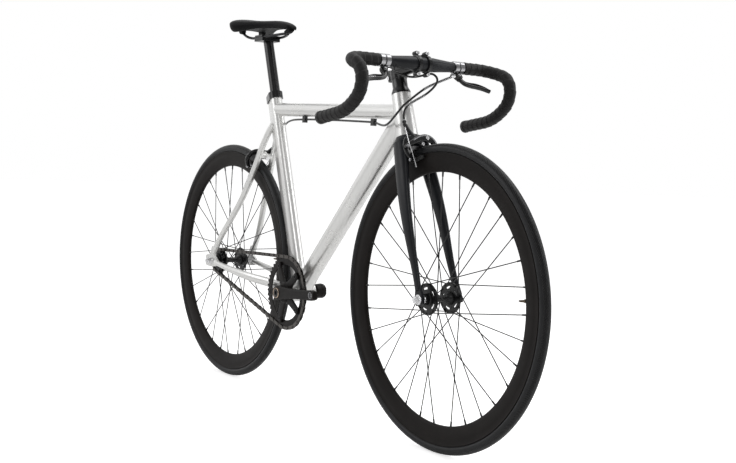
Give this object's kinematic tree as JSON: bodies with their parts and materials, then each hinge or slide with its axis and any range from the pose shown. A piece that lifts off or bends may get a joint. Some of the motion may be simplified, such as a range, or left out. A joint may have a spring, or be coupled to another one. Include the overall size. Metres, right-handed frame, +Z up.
{
  "type": "fixed gear bicycle",
  "caption": "Track-style bicycle with a polished frame, drop bar, rim brakes, deep rims and a fixed rear cog driven by a chain.",
  "frame": {"origin": "on the ground, midway between the two axles, in the bike's middle plane", "axes": "+X forward, +Y to the rider's left, +Z up"},
  "size_m": [1.6439, 0.4372, 1.022],
  "materials": {
    "polished_frame": "polished",
    "black_paint": "satin paint",
    "gloss_black": "gloss anodised",
    "bright_steel": "polished",
    "dark_steel": "satin",
    "tyre_rubber": "matt",
    "rubber": "matt",
    "black_plastic": "matt",
    "bar_tape": "matt, wrapped",
    "saddle_skin": "smooth"
  },
  "bodies": {
    "frame": {"head_tube": "polished_frame", "top_tube": "polished_frame", "down_tube": "polished_frame", "seat_tube": "polished_frame", "bottom_bracket_shell": "polished_frame", "chain_stays": "polished_frame", "seat_stays": "polished_frame", "track_ends": "polished_frame", "headset_bearings": "bright_steel", "bottom_bracket": "bright_steel", "seat_clamp": "gloss_black", "rear_axle": "bright_steel", "chain": "dark_steel", "rear_brake_cable": "black_plastic", "rear_cable_loop": "black_plastic", "cable_guides": "black_plastic", "rear_brake_bolt": "bright_steel"},
    "steering": {"fork": "black_paint", "headset_cover": "gloss_black", "stem": "gloss_black", "stem_faceplate": "gloss_black", "stem_bolts": "bright_steel", "handlebar": "gloss_black", "bar_tape": "bar_tape", "bar_plugs": "black_plastic", "lever_brackets": "gloss_black", "front_brake_bolt": "bright_steel", "front_axle": "bright_steel", "front_brake_cable": "black_plastic"},
    "right_lever": {"right_brake_lever": "gloss_black"},
    "left_lever": {"left_brake_lever": "gloss_black"},
    "front_inner_arm": {"front_brake_inner_arm": "gloss_black", "front_brake_inner_pad": "rubber"},
    "front_outer_arm": {"front_brake_outer_arm": "gloss_black", "front_brake_outer_pad": "rubber"},
    "rear_inner_arm": {"rear_brake_inner_arm": "gloss_black", "rear_brake_inner_pad": "rubber"},
    "rear_outer_arm": {"rear_brake_outer_arm": "gloss_black", "rear_brake_outer_pad": "rubber"},
    "front_wheel": {"front_tyre": "tyre_rubber", "front_tube": "rubber", "front_rim": "black_paint", "front_spokes": "dark_steel", "front_hub": "black_paint"},
    "rear_wheel": {"rear_tyre": "tyre_rubber", "rear_tube": "rubber", "rear_rim": "black_paint", "rear_spokes": "dark_steel", "rear_hub": "black_paint", "rear_cog": "bright_steel"},
    "crankset": {"chainring": "black_paint", "right_crank": "black_paint", "left_crank": "black_paint", "crank_spindle": "bright_steel", "crank_bolts": "bright_steel"},
    "seat": {"seatpost": "gloss_black", "saddle_clamp": "gloss_black", "saddle_rails": "dark_steel", "saddle_shell": "black_plastic", "saddle_cover": "saddle_skin"}
  },
  "joints": [
    {"name": "steering_turn", "type": "hinge", "parent": "frame", "child": "steering", "pos_m": [0.35215, 0, 0.68669], "axis": [-0.2756, 0, 0.9613], "range_deg": [-60, 60], "deforming": ["rear_cable_loop"]},
    {"name": "front_wheel_spin", "type": "hinge", "parent": "steering", "child": "front_wheel", "pos_m": [0.486, 0, 0.336], "axis": [0, 1, 0], "continuous": true},
    {"name": "rear_wheel_spin", "type": "hinge", "parent": "frame", "child": "rear_wheel", "pos_m": [-0.486, 0, 0.336], "axis": [0, 1, 0], "continuous": true, "deforming": ["chain"]},
    {"name": "crank_spin", "type": "hinge", "parent": "frame", "child": "crankset", "pos_m": [-0.09379, 0, 0.286], "axis": [0, 1, 0], "continuous": true},
    {"name": "right_lever_pull", "type": "hinge", "parent": "steering", "child": "right_lever", "pos_m": [0.39862, -0.103, 0.82572], "axis": [-0.7302, 0, -0.6832], "range_deg": [0, 18], "stiffness_Nm_per_rad": 0.6, "springref_deg": -17.19},
    {"name": "left_lever_pull", "type": "hinge", "parent": "steering", "child": "left_lever", "pos_m": [0.39862, 0.103, 0.82572], "axis": [0.7302, 0, 0.6832], "range_deg": [0, 18], "stiffness_Nm_per_rad": 0.6, "springref_deg": -17.19},
    {"name": "front_inner_arm_close", "type": "hinge", "parent": "steering", "child": "front_inner_arm", "pos_m": [0.38801, 0, 0.68137], "axis": [0.9613, 0, 0.2756], "range_deg": [0, 1.3]},
    {"name": "front_outer_arm_close", "type": "hinge", "parent": "steering", "child": "front_outer_arm", "pos_m": [0.38828, 0.017, 0.68041], "axis": [0.9613, 0, 0.2756], "range_deg": [-1.3, 0]},
    {"name": "rear_inner_arm_close", "type": "hinge", "parent": "frame", "child": "rear_inner_arm", "pos_m": [-0.30283, 0, 0.64495], "axis": [-0.8442, 0, 0.5361], "range_deg": [0, 1.3]},
    {"name": "rear_outer_arm_close", "type": "hinge", "parent": "frame", "child": "rear_outer_arm", "pos_m": [-0.30336, -0.017, 0.64411], "axis": [-0.8442, 0, 0.5361], "range_deg": [-1.3, 0]},
    {"name": "seatpost_height", "type": "slide", "parent": "frame", "child": "seat", "axis": [-0.3057, 0, 0.9521], "range_m": [-0.06, 0.04]}
  ],
  "couplings": [
    {"joint": "crank_spin", "follows": "rear_wheel_spin", "ratio": 0.34783},
    {"joint": "front_inner_arm_close", "follows": "right_lever_pull", "ratio": 0.072},
    {"joint": "front_outer_arm_close", "follows": "right_lever_pull", "ratio": -0.072},
    {"joint": "rear_inner_arm_close", "follows": "left_lever_pull", "ratio": 0.072},
    {"joint": "rear_outer_arm_close", "follows": "left_lever_pull", "ratio": -0.072}
  ]
}
